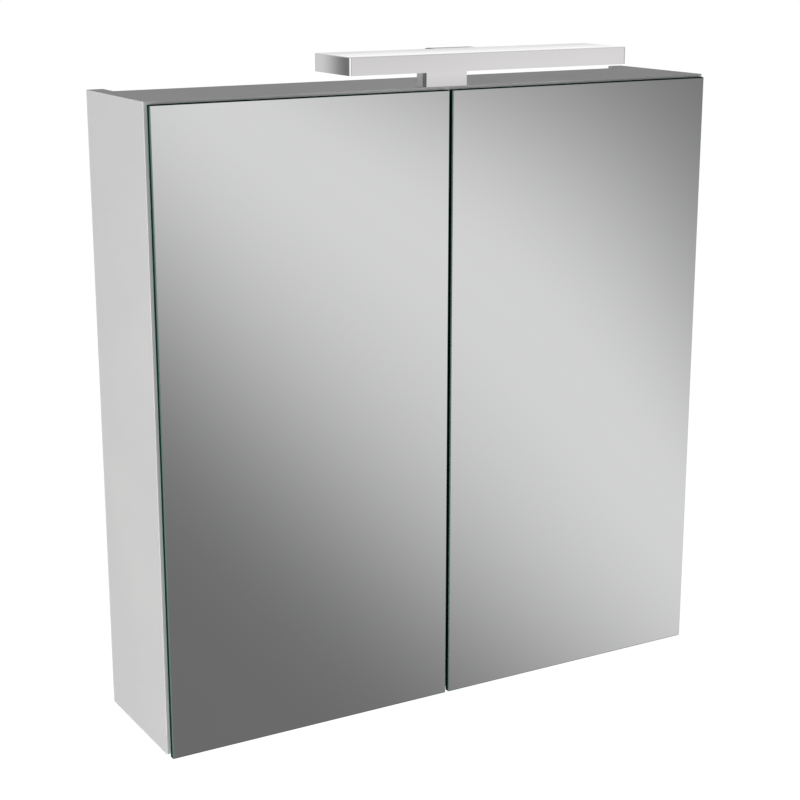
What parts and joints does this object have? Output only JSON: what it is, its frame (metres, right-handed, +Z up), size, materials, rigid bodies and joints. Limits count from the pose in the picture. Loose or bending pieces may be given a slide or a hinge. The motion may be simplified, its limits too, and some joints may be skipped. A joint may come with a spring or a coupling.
{
  "type": "medicine cabinet",
  "caption": "Square wall-hung medicine cabinet with overlay mirror doors on concealed link hinges, glass shelves inside and a slim chrome lamp reaching forward over the top edge.",
  "frame": {"origin": "centre of the wall screws' pattern, on the wall", "axes": "+Y into the wall, -Y out of the mirror doors, +Z up, +X to the right as seen by someone facing the mirrors"},
  "size_m": [0.68, 0.242, 0.7236],
  "materials": {
    "white_board": "white laminate on chipboard, satin",
    "beech": "bare",
    "mirror_glass": "silvered glass with polished green edges",
    "shelf_glass": "clear, polished edges",
    "chrome": "polished chrome plate",
    "opal_plastic": "opal",
    "circuit_board": "white solder mask",
    "light_chips": "phosphor",
    "white_plastic": "moulded",
    "grey_plastic": "moulded",
    "rubber": "soft grey",
    "steel": "nickel plated"
  },
  "bodies": {
    "carcass": {"adjust_screws": "steel", "back_panel": "white_board", "bottom_panel": "white_board", "bracket_screws": "steel", "cam_bolts": "steel", "cam_discs": "steel", "door_bumpers": "rubber", "dowels": "beech", "driver_box": "white_plastic", "driver_screws": "steel", "hanger_screws": "steel", "hinge_arm_screws": "steel", "hinge_plate_screws": "steel", "lamp_board": "circuit_board", "lamp_bracket": "chrome", "lamp_chips": "light_chips", "lamp_diffuser": "opal_plastic", "lamp_housing": "chrome", "lamp_screws": "steel", "left_arm_pins": "steel", "left_hanger_body": "white_plastic", "left_hanger_hook": "steel", "left_lower_hinge_arm": "steel", "left_lower_hinge_plate": "steel", "left_side_panel": "white_board", "left_upper_hinge_arm": "steel", "left_upper_hinge_plate": "steel", "left_wall_plate": "steel", "lower_shelf": "shelf_glass", "right_arm_pins": "steel", "right_hanger_body": "white_plastic", "right_hanger_hook": "steel", "right_lower_hinge_arm": "steel", "right_lower_hinge_plate": "steel", "right_side_panel": "white_board", "right_upper_hinge_arm": "steel", "right_upper_hinge_plate": "steel", "right_wall_plate": "steel", "shelf_pins": "steel", "top_panel": "white_board", "upper_shelf": "shelf_glass", "wire_grommet": "rubber"},
    "left_door": {"left_front_mirror": "mirror_glass", "left_rear_mirror": "mirror_glass", "left_lower_hinge_cup": "steel", "left_upper_hinge_cup": "steel", "left_cup_pins": "steel"},
    "left_long_link": {"left_long_links": "steel"},
    "left_short_link": {"left_short_links": "steel"},
    "right_door": {"right_front_mirror": "mirror_glass", "right_rear_mirror": "mirror_glass", "right_lower_hinge_cup": "steel", "right_upper_hinge_cup": "steel", "right_cup_pins": "steel"},
    "right_long_link": {"right_long_links": "steel"},
    "right_short_link": {"right_short_links": "steel"},
    "switch": {"rocker_switch": "grey_plastic"}
  },
  "joints": [
    {"name": "left_door_turn", "type": "hinge", "parent": "left_long_link", "child": "left_door", "pos_m": [-0.3168, -0.1416, -0.24], "axis": [0, 0, -1], "range_deg": [0, 152.17]},
    {"name": "left_long_link_swing", "type": "hinge", "parent": "carcass", "child": "left_long_link", "pos_m": [-0.27, -0.1295, -0.24], "axis": [0, 0, 1], "range_deg": [0, 60.3]},
    {"name": "left_short_link_swing", "type": "hinge", "parent": "carcass", "child": "left_short_link", "pos_m": [-0.292, -0.1503, -0.24], "axis": [0, 0, 1], "range_deg": [0, 95.7]},
    {"name": "right_door_turn", "type": "hinge", "parent": "right_long_link", "child": "right_door", "pos_m": [0.3168, -0.1416, -0.24], "axis": [0, 0, 1], "range_deg": [0, 152.17]},
    {"name": "right_long_link_swing", "type": "hinge", "parent": "carcass", "child": "right_long_link", "pos_m": [0.27, -0.1295, -0.24], "axis": [0, 0, -1], "range_deg": [0, 60.3]},
    {"name": "right_short_link_swing", "type": "hinge", "parent": "carcass", "child": "right_short_link", "pos_m": [0.292, -0.1503, -0.24], "axis": [0, 0, -1], "range_deg": [0, 95.7]},
    {"name": "switch_tilt", "type": "hinge", "parent": "carcass", "child": "switch", "pos_m": [0, -0.083, 0.07], "axis": [-1, 0, 0], "range_deg": [0, 12]}
  ],
  "couplings": [
    {"joint": "left_long_link_swing", "follows": "left_door_turn", "ratio": 0.39541},
    {"joint": "left_short_link_swing", "follows": "left_door_turn", "ratio": 0.62817},
    {"joint": "right_long_link_swing", "follows": "right_door_turn", "ratio": 0.39541},
    {"joint": "right_short_link_swing", "follows": "right_door_turn", "ratio": 0.62817}
  ]
}
